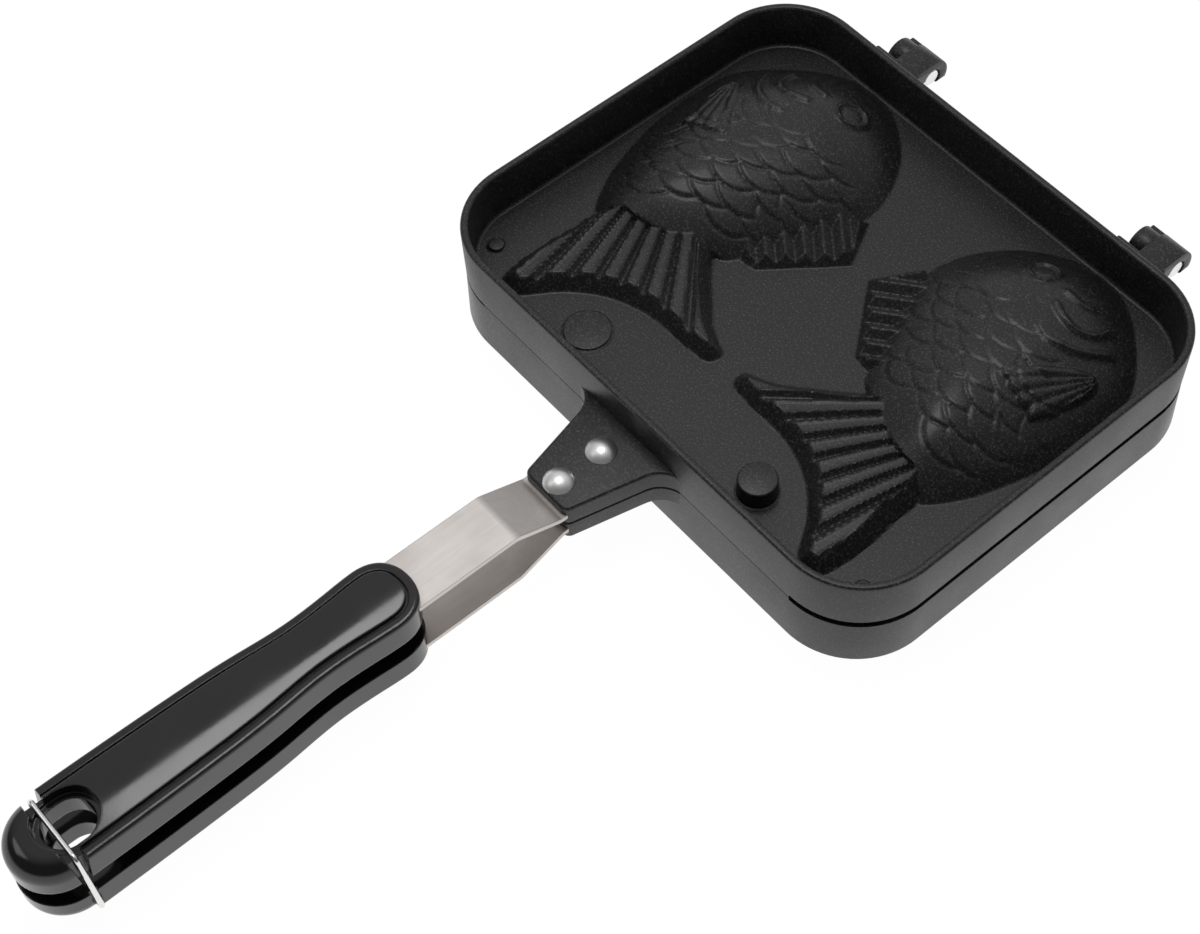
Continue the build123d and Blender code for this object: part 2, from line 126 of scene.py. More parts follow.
# ---------------------------------------------------------------- carved fish, on the +X side
BODY_HEIGHT = 14.5
BODY_TOP = 13.9             # above this the details stand half as high, to stay under the rim
BODY_SWELL = 33.0           # distance from the outline to the crest
CREST_BLUR = 3.0            # the swell is softened over this distance
BODY_OUTLINE = [
    (29, -10), (25, -3), (20, 8), (16, 19), (13.3, 30), (14, 38), (17.5, 47), (24, 56), (33, 63),
    (42, 67), (52, 67.2), (62.5, 62.8), (72, 55), (79.5, 46), (83.6, 36), (84, 22), (82.5, 6.5),
    (78, -9.5), (74.5, -17.6), (69, -26), (62, -31), (52, -30), (42, -24.5), (34, -17),
]
REAR_X = (29, 36, 45, 50, 56, 62, 67.5, 72)         # where the body stops on the tail's root
REAR_Y = (-10, -14, -18.7, -21, -22.3, -22.6, -26.5, -30)
TAIL_OUTLINE = [
    (38, -8), (31.4, -13), (26, -18), (20.5, -22.6), (14.2, -28), (8.5, -31), (4.8, -32.6), (4.2, -35.4),
    (5.9, -38.2), (12, -39), (19, -39.2), (30, -40), (42, -44.6), (51.5, -52.6), (58.9, -62.9),
    (63, -63.8), (67, -62.5), (68.6, -54), (68.8, -45.4), (68, -36), (67.5, -26.5), (62, -12),
]
TAIL_FAN = (73.5, 22.0)     # where the tail's rays would meet
TAIL_RAYS = 8
TAIL_ANGLES = (-140.5, -95.5)
TAIL_HEIGHT = 5.4           # rays at their root
TAIL_DROP = 1.4             # how much lower they are at their ends
TAIL_VALLEY = 1.2           # depth between two rays
TAIL_BEAD = 0.3             # raised line along each side of a ray
TAIL_SLOPE = 1.15           # rise of the tail's rim per millimetre
FIN_OUTLINE = [
    (11.5, 31), (7.4, 23.4), (3.6, 16.4), (8, 10.5), (12.8, 4.6), (17, -0.7), (21.1, -5.8), (27, -6.6),
    (34, 0), (26, 26),
]
FIN_ACROSS = (0.62, -0.785) # along the dorsal fin's outer edge, across its ribs
FIN_PITCH = 5.68
FIN_PHASE = 2.85            # a crest lies this far along the edge
FIN_HEIGHT = 1.3            # valleys between the ribs
FIN_RIB = 2.2               # crests above them
FIN_SLOPE = 1.3             # rise of the fin's rim per millimetre
SCALE_RADIUS = 9.4          # the scales lie by the rearmost point of each, SCALE_TIPS
SCALE_LIFT = 0.4            # free edge above the body
GROOVE_WIDTH = 0.6          # line along each free edge
GROOVE_DEPTH = 0.6
SCALE_BLUR = 0.29
SCALE_REAR = math.radians(-99)      # direction of the free edges
SCALE_TIPS = [
    (37, -7.2), (53, -10.6), (66, -13), (60.5, -16.6),
    (29.5, -0.6), (45, -5.7), (60, -8.1), (73, -9.5),
    (38, -1), (53, -4), (66.5, -5.2),
    (31, 7.2), (44.5, 2.3), (59, 0.8), (73.5, 0.4),
    (25.5, 13.9), (39, 8.4), (53, 5.3), (66.5, 4.6),
    (32, 14.8), (46, 11.2), (61, 8.7),
    (27.5, 21.6), (40, 16), (53, 14.2), (65, 15),
    (20, 27.5), (34.5, 21.5), (48, 19.6), (60, 21.5),
    (17.5, 20), (22, 9), (24, 1.5), (72, -1), (78, 3), (76, 9.5), (27.5, 29.5), (42, 26),
    (20.5, 34.5), (55, 23.5), (34, 30), (47.5, 27.5),
]
SCALE_END = 37.0            # no scales further forward than this
EYE = (39.5, 50.1)
EYE_RADIUS = 4.5
EYE_RING = 1.2              # height of the ring
EYE_RING_WIDTH = 0.8
EYE_CROWN = 0.5             # height of the eye inside it
GILL_LINES = [
    [(53.3, 33.1), (57.5, 31.8), (62, 33.1), (65.2, 35.1), (67.8, 38.2), (70.8, 43.9)],
    [(51.2, 42.0), (55.2, 40.5), (59.5, 40.1), (63, 42), (65, 46), (65.2, 50.2)],
    [(49.8, 48.5), (54.6, 48.8), (57.5, 50.6)],
]
GILL_HEIGHTS = (1.5, 1.5, 1.1)
GILL_WIDTH = 1.15
PECTORAL_OUTLINE = [
    (56.9, 15.6), (58.8, 13.6), (62, 12.6), (66, 12.0), (70, 11.6), (73.2, 12.2), (74.6, 20),
    (76, 29), (75.2, 33.4), (72, 34.2), (67, 28), (62, 21.6),
]
PECTORAL_FAN = (76.0, 38.0)
PECTORAL_RAYS = 4
PECTORAL_ANGLES = (-130.5, -96)
PECTORAL_HEIGHT = 1.05      # valleys between the rays
PECTORAL_RAY = 0.45         # crests above them
PECTORAL_SCALLOP = 0.8      # how far the edge is drawn in between two rays


def fan_wave(x, y, centre, angles, count):
    """Place across a ray, 0 at its edges and 0.5 in its middle, in a fan about a centre."""
    angle = np.degrees(np.arctan2(y - centre[1], x - centre[0]))
    place = (angle - angles[0]) / (angles[1] - angles[0]) * count
    share = place - np.floor(place)
    return np.minimum(share, 1 - share)


def body_relief(x, y, spacing):
    """Swollen body with overlapping scales, and the distance to its outline."""
    depth = depth_inside(x, y, smooth_loop(BODY_OUTLINE))
    swell = 1 - np.clip(depth, 0, BODY_SWELL) / BODY_SWELL
    height = BODY_HEIGHT * (1 - swell**2)
    # the crest is softened, the steep flank near the outline isn't
    soft = blurred(height, CREST_BLUR / spacing)
    height = height + (soft - height) * ramp(depth, 4, 12)
    # each scale lies over those behind it, with a line along its free edge
    rear = (math.cos(SCALE_REAR), math.sin(SCALE_REAR))
    lift, groove = np.zeros(x.shape), np.zeros(x.shape)
    rear_first = sorted(SCALE_TIPS, key=lambda tip: tip[0] * rear[0] + tip[1] * rear[1], reverse=True)
    for tip_x, tip_y in rear_first:
        along = (x - tip_x) * rear[0] + (y - tip_y) * rear[1] + SCALE_RADIUS
        across = (x - tip_x) * rear[1] - (y - tip_y) * rear[0]
        margin = SCALE_RADIUS - np.hypot(along, across)
        rise = SCALE_LIFT * np.clip(1.4 * along / SCALE_RADIUS - 0.4, 0, 1)
        lift = np.where(margin > 0, rise, lift)
        groove = np.where(margin > GROOVE_WIDTH, 0, groove)
        edge = np.clip(1 - np.abs(margin) / GROOVE_WIDTH, 0, 1) * ramp(along, 0.5, 3.5)
        groove = np.maximum(groove, edge)
    lift = blurred(lift - GROOVE_DEPTH * groove, SCALE_BLUR / spacing)
    lift = lift * (1 - ramp(y, SCALE_END - 6, SCALE_END)) * ramp(depth, 2.0, 5)
    height = height + lift
    rear_line = np.interp(x, REAR_X, REAR_Y)
    return np.where(depth > 0, height, 0) * ramp(y - rear_line, 0, 0.6), depth


def head_relief(x, y):
    """Eye ring, gill and mouth ridges, on top of the body."""
    around = np.hypot(x - EYE[0], y - EYE[1])
    height = EYE_RING * np.exp(-((around - EYE_RADIUS) / EYE_RING_WIDTH) ** 2)
    height = height + EYE_CROWN * ramp(EYE_RADIUS - around, 0.8, 2.6)
    for line, size in zip(GILL_LINES, GILL_HEIGHTS):
        nearby = distance_to_line(x, y, smooth_open(line))
        height = np.maximum(height, size * np.exp(-((nearby / GILL_WIDTH) ** 2)))
    return height


def pectoral_relief(x, y):
    """Side fin laid on the body."""
    depth = depth_inside(x, y, smooth_loop(PECTORAL_OUTLINE))
    share = fan_wave(x, y, PECTORAL_FAN, PECTORAL_ANGLES, PECTORAL_RAYS)
    ray = ramp(share, 0.06, 0.34)
    reach = np.hypot(x - PECTORAL_FAN[0], y - PECTORAL_FAN[1])
    scallop = PECTORAL_SCALLOP * (1 - ray) * ramp(reach, 20, 26)
    return (PECTORAL_HEIGHT + PECTORAL_RAY * ray) * ramp(depth + 0.9 - scallop, 0, 1.4)


def tail_relief(x, y):
    """Fan of the tail with broad, flat rays."""
    depth = depth_inside(x, y, smooth_loop(TAIL_OUTLINE))
    share = fan_wave(x, y, TAIL_FAN, TAIL_ANGLES, TAIL_RAYS)
    ray = np.clip((share - 0.02) / 0.2, 0, 1)
    reach = np.hypot(x - TAIL_FAN[0], y - TAIL_FAN[1])
    plateau = TAIL_HEIGHT - TAIL_DROP * ramp(reach, 50, 90)
    bead = TAIL_BEAD * np.exp(-((share - 0.24) / 0.05) ** 2)
    top = plateau + bead - TAIL_VALLEY * (1 - ray)
    return np.minimum(np.clip(depth, 0, None) * TAIL_SLOPE, top)


def fin_relief(x, y):
    """Dorsal fin with sharp zig-zag ribs."""
    depth = depth_inside(x, y, np.array(FIN_OUTLINE, float))
    place = (x * FIN_ACROSS[0] + y * FIN_ACROSS[1] - FIN_PHASE) / FIN_PITCH
    share = place - np.floor(place)
    peak = np.abs(2 * share - 1)
    top = FIN_HEIGHT + FIN_RIB * peak
    return np.minimum(np.clip(depth, 0, None) * FIN_SLOPE, top)


def fish_relief(x, y, spacing):
    """Height of the fish above the web, for x and y of the +X fish."""
    body, depth = body_relief(x, y, spacing)
    on_body = ramp(depth, 3, 7)
    body = body + (head_relief(x, y) + pectoral_relief(x, y)) * on_body
    body = body - 0.5 * np.clip(body - BODY_TOP, 0, None)
    return np.maximum.reduce([body, tail_relief(x, y), fin_relief(x, y)])


# ---------------------------------------------------------------- closed surfaces
class Casting:
    """Closed surfaces in the half frame that together make one cast piece."""

    def __init__(self):
        self.points = []
        self.faces = []

    def add(self, points, faces):
        """One closed surface, turned the right way out."""
        points = np.array(points, float)
        volume = 0.0
        for face in faces:
            a, b, c = points[face[0]], points[face[1]], points[face[2]]
            volume += float(np.dot(a, np.cross(b, c)))
            if len(face) > 3:
                for second, third in zip(face[2:-1], face[3:]):
                    volume += float(np.dot(a, np.cross(points[second], points[third])))
        start = len(self.points)
        turn = 1 if volume > 0 else -1
        self.points.extend(points.tolist())
        self.faces.extend([tuple(start + i for i in face[::turn]) for face in faces])

    def stack(self, loops):
        """Loops of equal length joined one above another, with a face at each end."""
        count = len(loops[0])
        points = [point for loop in loops for point in loop]
        faces = strips(len(loops), count, closed=False)
        faces.append(tuple(range(count))[::-1])
        faces.append(tuple(range((len(loops) - 1) * count, len(loops) * count)))
        self.add(points, faces)

    def ring(self, loops):
        """Loops joined one to the next and the last to the first."""
        points = [point for loop in loops for point in loop]
        self.add(points, strips(len(loops), len(loops[0]), closed=True))


def strips(rows, count, closed):
    """Faces between neighbouring loops."""
    faces = []
    for row in range(rows if closed else rows - 1):
        low, high = row * count, (row + 1) % rows * count
        for i in range(count):
            after = (i + 1) % count
            faces.append((low + i, low + after, high + after, high + i))
    return faces


def rounded_outline(inset, arc_steps=20):
    """Plan of the pan as (x, y), with stations close to where the seam's ledge changes."""
    radius = CORNER - inset
    middle_x, middle_y = HALF_WIDTH - CORNER, HALF_LENGTH - CORNER
    outline = []
    for quarter, (sx, sy) in enumerate(((1, 1), (-1, 1), (-1, -1), (1, -1))):
        for step in range(arc_steps + 1):
            angle = math.radians(90 * (quarter + step / arc_steps))
            x = sx * middle_x + radius * math.cos(angle)
            y = sy * middle_y + radius * math.sin(angle)
            outline.append((x, y))
        if quarter in (0, 2):
            for share in (0.001, 0.5, 0.999):
                x = sx * middle_x * (1 - 2 * share)
                outline.append((x, sy * (HALF_LENGTH - inset)))
    return outline


def seam_depth(x, y):
    """Depth of the ledge in the parting face, which differs round the edge."""
    straight = HALF_WIDTH - CORNER - 0.01
    if x < -straight:
        return SEAM_LEFT
    if x < straight and y < 0:
        return SEAM_FRONT
    return SEAM_REST


def arc(centre, radius, start, end, steps):
    """Points of an arc, angles in degrees."""
    angles = [math.radians(start + (end - start) * i / steps) for i in range(steps + 1)]
    return [(centre[0] + radius * math.cos(a), centre[1] + radius * math.sin(a)) for a in angles]


def wall(casting):
    """Wall round the tray: outer face, rounded rim, inner face and fillet to the web."""
    inner = RIM_WALL + WALL_DRAFT
    rim = (0, HALF_HEIGHT - RIM_ROUND)
    profile = [(FLARE, None)]   # (inset, level); None stands for the depth of the seam
    profile += [(RIM_ROUND - a, b) for a, b in arc(rim, RIM_ROUND, 0, 90, 4)]
    profile += [(RIM_WALL - RIM_ROUND + a, b) for a, b in arc(rim, RIM_ROUND, 90, 0, 4)]
    profile += arc((inner + FLOOR_ROUND, WEB + FLOOR_ROUND - FLOOR_DIP), FLOOR_ROUND, 180, 270, 5)
    profile += [(inner + FLOOR_ROUND, WEB_MIDDLE), (LEDGE + WALL_LAP, None)]
    edge = rounded_outline(0)
    loops = []
    for inset, level in profile:
        loops.append([
            (x, y, seam_depth(*place) if level is None else level)
            for (x, y), place in zip(rounded_outline(inset), edge)
        ])
    casting.ring(loops)


def web(casting, spacing):
    """Carved web: the fish stand up in the tray and are hollow on the parting side."""
    half_x, half_y = HALF_WIDTH - LEDGE, HALF_LENGTH - LEDGE
    columns = int(half_x / spacing) + 2
    rows = int(half_y / spacing) + 2
    xs = np.arange(0, columns + 1) * spacing
    ys = np.arange(-rows, rows + 1) * spacing
    x, y = np.meshgrid(xs, ys)
    relief = fish_relief(x, y, spacing)
    x = np.hstack([-x[:, :0:-1], x])
    y = np.hstack([y[:, :0:-1], y])
    relief = np.hstack([relief[:, :0:-1], relief])
    # points past the tray's outline are drawn in to it
    radius = CORNER - LEDGE
    corner_x, corner_y = half_x - radius, half_y - radius
    out_x, out_y = np.maximum(np.abs(x) - corner_x, 0), np.maximum(np.abs(y) - corner_y, 0)
    reach = np.hypot(out_x, out_y)
    beyond = reach - radius
    shrink = np.where(beyond > 0, radius / np.maximum(reach, 1e-9), 1)
    x = np.sign(x) * (np.minimum(np.abs(x), corner_x) + out_x * shrink)
    y = np.sign(y) * (np.minimum(np.abs(y), corner_y) + out_y * shrink)
    # cells with a corner inside are kept, and their points numbered
    kept = beyond < 0
    cells = kept[:-1, :-1] | kept[1:, :-1] | kept[:-1, 1:] | kept[1:, 1:]
    used = np.zeros(x.shape, bool)
    for rows_part, columns_part in (
        (slice(None, -1), slice(None, -1)), (slice(1, None), slice(None, -1)),
        (slice(None, -1), slice(1, None)), (slice(1, None), slice(1, None)),
    ):
        used[rows_part, columns_part] |= cells
    number = np.full(x.shape, -1)
    number[used] = np.arange(used.sum())
    top = np.column_stack([x[used], y[used], WEB + relief[used]])
    bottom = np.column_stack([x[used], y[used], relief[used]])
    a, b = number[:-1, :-1][cells], number[:-1, 1:][cells]
    c, d = number[1:, 1:][cells], number[1:, :-1][cells]
    count = len(top)
    upper = np.column_stack([a, b, c, d])
    lower = np.column_stack([a, d, c, b]) + count
    # an edge that only one cell uses gets a side face
    edges = {}
    for corners in upper.tolist():
        for one, other in zip(corners, corners[1:] + corners[:1]):
            if (other, one) in edges:
                del edges[(other, one)]
            else:
                edges[(one, other)] = True
    sides = [(other, one, one + count, other + count) for one, other in edges]
    start = len(casting.points)
    casting.points.extend(np.vstack([top, bottom]).tolist())
    for group in (upper.tolist(), lower.tolist(), sides):
        casting.faces.extend([tuple(start + i for i in face) for face in group])


def turned(casting, place, profile, segments=40):
    """Round boss on the web from a profile of (radius, height)."""
    angles = [2 * math.pi * i / segments for i in range(segments)]
    loops = []
    for radius, level in profile:
        loops.append([
            (place[0] + radius * math.cos(t), place[1] + radius * math.sin(t), level) for t in angles
        ])
    casting.stack(loops)


MARKS_Y = -HALF_LENGTH + 15.2
WEB_MARKS = (               # x, radius, height and rounding: stub, bare disc and two dots
    (36, 5.75, 6.0, 0.7), (-36, 7.0, 0.8, 0.35), (77.5, 2.4, 1.2, 0.4), (-77.5, 2.4, 1.2, 0.4),
)
MARK_FOOT = 0.8             # how far a mark spreads where it meets the web


def web_marks(casting):
    """Raised stub, disc and two small dots near the front wall."""
    for x, radius, height, edge in WEB_MARKS:
        top, foot = WEB + height, radius + MARK_FOOT
        profile = [(foot, WEB - 1), (foot, WEB - HAIR)]
        profile += [(radius + 0.2, WEB + 0.2), (radius, WEB + 0.7 * height / 2)]
        profile += arc((radius - edge, top - edge), edge, 0, 90, 4)
        turned(casting, (x, MARKS_Y), profile)


LUG_END = HALF_LENGTH + 29.8
LUG_HEIGHT = 7.0
LUG_ROUND = 1.0
LUG_LOW = 0.2               # gap to the parting plane
LUG_CHAMFER = 0.3           # its lower edge


def lug_outline():
    """Half plan of the lug from the wall to its end, on the +X side, as (x, distance from middle)."""
    root, end, fillet, corner = 15.6, 9.7, 9.0, 2.5
    wall_y = HALF_LENGTH - FLARE - 0.2          # just inside the wall's outer face
    lean = math.atan2(root - end, LUG_END - wall_y)
    turn = math.degrees(lean)
    sweep = 90 - turn
    trim = fillet * math.tan(math.radians(sweep / 2))
    centre = (root + trim, wall_y + fillet)
    points = [(root + trim, wall_y - 2)]
    points += arc(centre, fillet, 270, 180 + turn, 10)
    trim = corner * math.tan(math.radians((90 + turn) / 2))
    centre = (end - trim, LUG_END - corner)
    points += arc(centre, corner, turn, 90, 6)
    return points


def inset_outline(outline, inset):
    """Closed outline moved inwards by inset; the outline runs against the clock."""
    points = np.array(outline, float)
    before, after = np.roll(points, 1, 0), np.roll(points, -1, 0)
    one, two = points - before, after - points
    one = one / np.maximum(np.hypot(*one.T)[:, None], 1e-9)
    two = two / np.maximum(np.hypot(*two.T)[:, None], 1e-9)
    left = np.column_stack([-(one + two)[:, 1], (one + two)[:, 0]])
    length = np.maximum(np.hypot(*left.T)[:, None], 1e-9)
    left = left / length
    stretch = 1 / np.maximum(length[:, 0] / 2, 0.5)
    return points + left * (inset * stretch)[:, None]


def signed_area(outline):
    """Area of an outline, positive where it runs against the clock."""
    points = np.array(outline, float)
    after = np.roll(points, -1, 0)
    return float((points[:, 0] * after[:, 1] - after[:, 0] * points[:, 1]).sum()) / 2


def lug(casting):
    """Handle lug with rounded top edges."""
    half = lug_outline()
    outline = [(x, -y) for x, y in half] + [(-x, -y) for x, y in half[::-1]]
    if signed_area(outline) < 0:
        outline = outline[::-1]
    loops = []
    levels = [(LUG_CHAMFER, LUG_LOW), (0.0, LUG_LOW + LUG_CHAMFER)]
    levels += [(LUG_ROUND - a, b) for a, b in arc((0, LUG_HEIGHT - LUG_ROUND), LUG_ROUND, 0, 90, 6)]
    for inset, level in levels:
        loops.append([(x, y, level) for x, y in inset_outline(outline, inset)])
    casting.stack(loops)


HINGE_Y = HALF_LENGTH + 16.35
HINGE_SPREAD = 50.5         # from the middle to each hinge
HINGE_GAP = 0.5             # hinge parts stay this far off the parting plane
HINGE_ROOT = 0.8            # and start this far inside the back wall
BLOCK_WIDTH = 17.5
BLOCK_WIDER = 0.9           # extra width on the ear's side
BLOCK_HEIGHT = 6.3
BLOCK_REACH = 9.6           # behind the wall
BLOCK_ROOT = 1.3            # start of the block, inside the wall
BLOCK_ROUND = 0.9
BLOCK_CHAMFER = 0.4
BLOCK_EDGE = 0.5
PIN_HOLE = 3.26
EAR_START = 1.2             # from the block's side to the ear
EAR_WIDTH = 5.6
EAR_RADIUS = 5.2
EAR_HEEL = 6.3              # square foot behind the pin
EAR_HEEL_TOP = 2.0          # its top, past the parting plane
HOOK_SPACE = 0.4            # from the ear to the hook
HOOK_WIDTH = 9.5
HOOK_RADIUS = 6.4
HOOK_DROP = -2.8            # the hook's mouth, past the parting plane


def prism(casting, profile, low, high, edge=0.35):
    """Prism along X from a profile of (y, z), with small rounded end edges."""
    if signed_area(profile) < 0:
        profile = profile[::-1]
    loops = []
    for inset, x in ((edge, low), (edge * 0.3, low + edge * 0.3), (0, low + edge),
                     (0, high - edge), (edge * 0.3, high - edge * 0.3), (edge, high)):
        loops.append([(x, y, z) for y, z in inset_outline(profile, inset)])
    casting.stack(loops)


def hinge_blocks(casting):
    """Block on the back wall at each hinge, a little wider on the ear's side."""
    for middle in (-HINGE_SPREAD, HINGE_SPREAD):
        low, high = middle - BLOCK_WIDTH / 2 - BLOCK_WIDER, middle + BLOCK_WIDTH / 2
        root, far = HALF_LENGTH - BLOCK_ROOT, HALF_LENGTH + BLOCK_REACH
        profile = [(root, HINGE_GAP), (far - BLOCK_CHAMFER, HINGE_GAP), (far, HINGE_GAP + BLOCK_CHAMFER)]
        profile += arc((far - BLOCK_ROUND, BLOCK_HEIGHT - BLOCK_ROUND), BLOCK_ROUND, 0, 90, 6)
        profile += [(root, BLOCK_HEIGHT)]
        prism(casting, profile, low, high, BLOCK_EDGE)


def hinge_hooks(casting):
    """Hooks of the upper half, open below, that ride on the pins."""
    inner_start = 180 - math.degrees(math.asin(HINGE_GAP / PIN_HOLE))
    inner_end = math.degrees(math.asin(HOOK_DROP / PIN_HOLE))
    outer_start = math.degrees(math.asin(HOOK_DROP / HOOK_RADIUS))
    for middle in (-HINGE_SPREAD, HINGE_SPREAD):
        low = middle - BLOCK_WIDTH / 2 + EAR_START + EAR_WIDTH + HOOK_SPACE
        profile = [(HALF_LENGTH - HINGE_ROOT, HINGE_GAP)]
        profile += arc((HINGE_Y, 0), PIN_HOLE, inner_start, inner_end, 20)
        profile += arc((HINGE_Y, 0), HOOK_RADIUS, outer_start, 90, 14)
        profile += [(HALF_LENGTH - HINGE_ROOT, HOOK_RADIUS)]
        prism(casting, profile, low, low + HOOK_WIDTH)


def hinge_ears(casting):
    """Ears of the lower half that hold the pins, drawn with z counted downwards."""
    start = math.degrees(math.asin(EAR_HEEL_TOP / EAR_RADIUS))
    end = 180 + math.degrees(math.asin(HINGE_GAP / EAR_RADIUS))
    root, heel = HALF_LENGTH - HINGE_ROOT, HINGE_Y + EAR_HEEL
    for middle in (-HINGE_SPREAD, HINGE_SPREAD):
        low = middle - BLOCK_WIDTH / 2 + EAR_START
        profile = [(root, BLOCK_HEIGHT), (heel, BLOCK_HEIGHT), (heel, -EAR_HEEL_TOP)]
        profile += [(y, -z) for y, z in arc((HINGE_Y, 0), EAR_RADIUS, start, end, 14)]
        profile += [(root, HINGE_GAP)]
        prism(casting, profile, low + HAIR, low + EAR_WIDTH)


def make_object(name, casting, lower):
    """Casting in place as a mesh object, in metres."""
    points = np.array(casting.points, float)
    faces = casting.faces
    if lower:
        points[:, 2] = -points[:, 2]
        faces = [face[::-1] for face in faces]
    points[:, 2] += HALF_HEIGHT
    mesh = bpy.data.meshes.new(name)
    mesh.from_pydata((points * MM).tolist(), [], faces)
    mesh.polygons.foreach_set("use_smooth", [True] * len(mesh.polygons))
    mesh.set_sharp_from_angle(angle=math.radians(SHARP_ANGLE))
    obj = bpy.data.objects.new(name, mesh)
    bpy.context.scene.collection.objects.link(obj)
    return obj


def half_pan(name, node, body, lower):
    """One casting with everything on it, standing for the frame's own node."""
    casting = Casting()
    web(casting, COARSE_GRID if lower else FINE_GRID)
    wall(casting)
    web_marks(casting)
    lug(casting)
    hinge_blocks(casting)
    if lower:
        hinge_ears(casting)
    else:
        hinge_hooks(casting)
    obj = make_object(name, casting, lower)
    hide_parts(node)
    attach(obj, body)
    return obj


# ---------------------------------------------------------------- materials
COATING_DARK = (0.009, 0.0087, 0.0092)
COATING_LIGHT = (0.09, 0.087, 0.09)         # single grains
COATING_ROUGHNESS = (0.36, 0.44)
GRAIN_SCALE = 1700
GRAIN_NOISE = (0.52, 0.8)   # noise between which a grain turns pale
PLASTIC_DARK = (0.006, 0.006, 0.0062)
PLASTIC_LIGHT = (0.009, 0.009, 0.0092)
PLASTIC_ROUGHNESS = (0.08, 0.13)
PLASTIC_SPECULAR = 0.65
PLASTIC_EDGE = 0.0006       # rounding of edges, in metres
METAL_EDGE = 0.0004
BARE_METALS = (
    # ending of the pieces' names, material, dark and light colour, roughness, stretch, scale, relief
    ("stem", "strip_steel", (0.57, 0.535, 0.51), (0.7, 0.66, 0.635),
     (0.46, 0.56), (1, 0.05, 1), 1500, 0.3),
    ("rivet", "rivet_aluminium", (0.88, 0.875, 0.87), (0.96, 0.955, 0.95),
     (0.36, 0.46), (1, 1, 1), 700, 0.3),
    ("pin", "pin_steel", (0.78, 0.77, 0.76), (0.9, 0.89, 0.88),
     (0.25, 0.35), (0.1, 1, 1), 1200, 0.3),
    ("wire", "wire_steel", (0.75, 0.74, 0.73), (0.88, 0.87, 0.86),
     (0.14, 0.22), (0.1, 1, 1), 900, 0.15),
)


def node_adder(tree):
    """Helper that adds a node to the tree and sets its sockets or properties by name."""
    def add(kind, **values):
        node = tree.nodes.new(kind)
        for key, value in values.items():
            if key in node.inputs:
                node.inputs[key].default_value = value
            else:
                setattr(node, key, value)
        return node

    return add


def link(tree, *pairs):
    """Link each pair of an output and an input."""
    for source, target in pairs:
        tree.links.new(source, target)


def material(name):
    """New node material with its tree, its shader and a helper that adds nodes."""
    mat = bpy.data.materials.new(name)
    mat.use_nodes = True
    tree = mat.node_tree
    return mat, tree, tree.nodes["Principled BSDF"], node_adder(tree)


def object_noise(tree, add, scale, detail=3.0, stretch=(1, 1, 1)):
    """Noise in the piece's own metres."""
    place = add("ShaderNodeTexCoord")
    mapping = add("ShaderNodeMapping", Scale=stretch)
    noise = add("ShaderNodeTexNoise", Scale=scale, Detail=detail)
    link(
        tree,
        (place.outputs["Object"], mapping.inputs["Vector"]),
        (mapping.outputs["Vector"], noise.inputs["Vector"]),
    )
    return noise.outputs["Fac"]


def map_range(tree, add, source, low, high, from_low=0.3, from_high=0.7):
    """Source brought from one range to another, and held within it."""
    ranges = {"From Min": from_low, "From Max": from_high, "To Min": low, "To Max": high}
    node = add("ShaderNodeMapRange", **ranges)
    tree.links.new(source, node.inputs["Value"])
    return node.outputs["Result"]


def mix_colour(tree, add, factor, dark, light):
    """Colour between dark and light, by the node's sockets for colours."""
    node = add("ShaderNodeMix", data_type="RGBA")
    node.inputs[6].default_value = (*dark, 1)
    node.inputs[7].default_value = (*light, 1)
    tree.links.new(factor, node.inputs[0])
    return node.outputs[2]


def bump(tree, add, shader, height, distance, strength, edge=0):
    """Fine relief, on edges that look rounded by edge metres."""
    node = add("ShaderNodeBump", Strength=strength, Distance=distance)
    tree.links.new(height, node.inputs["Height"])
    if edge:
        tree.links.new(add("ShaderNodeBevel", Radius=edge).outputs["Normal"], node.inputs["Normal"])
    tree.links.new(node.outputs["Normal"], shader.inputs["Normal"])


def coating_material():
    """Charcoal non-stick coating with fine bright grains."""
    mat, tree, shader, add = material("non_stick_coating")
    grain = object_noise(tree, add, GRAIN_SCALE, detail=1)
    cloud = object_noise(tree, add, scale=45, detail=3)
    shade = map_range(tree, add, grain, 0, 1, *GRAIN_NOISE)
    colour = mix_colour(tree, add, shade, COATING_DARK, COATING_LIGHT)
    roughness = map_range(tree, add, cloud, *COATING_ROUGHNESS)
    link(tree, (colour, shader.inputs["Base Color"]), (roughness, shader.inputs["Roughness"]))
    bump(tree, add, shader, grain, distance=0.0001, strength=0.3)
    return mat


def grip_material():
    """Glossy black moulded plastic."""
    mat, tree, shader, add = material("grip_plastic")
    cloud = object_noise(tree, add, scale=60, detail=3)
    fine = object_noise(tree, add, scale=900, detail=2)
    roughness = map_range(tree, add, cloud, *PLASTIC_ROUGHNESS)
    colour = mix_colour(tree, add, cloud, PLASTIC_DARK, PLASTIC_LIGHT)
    link(tree, (colour, shader.inputs["Base Color"]), (roughness, shader.inputs["Roughness"]))
    shader.inputs["Specular IOR Level"].default_value = PLASTIC_SPECULAR
    bump(tree, add, shader, fine, distance=0.00003, strength=0.12, edge=PLASTIC_EDGE)
    return mat


def metal_material(name, dark, light, rough, stretch, scale, relief):
    """Bare metal with fine marks, drawn out along one axis by stretch."""
    mat, tree, shader, add = material(name)
    marks = object_noise(tree, add, scale, detail=4, stretch=stretch)
    cloud = object_noise(tree, add, scale=90, detail=3)
    shader.inputs["Metallic"].default_value = 1.0
    colour = mix_colour(tree, add, marks, dark, light)
    roughness = map_range(tree, add, cloud, *rough)
    link(tree, (colour, shader.inputs["Base Color"]), (roughness, shader.inputs["Roughness"]))
    bump(tree, add, shader, marks, distance=0.00004, strength=relief, edge=METAL_EDGE)
    return mat


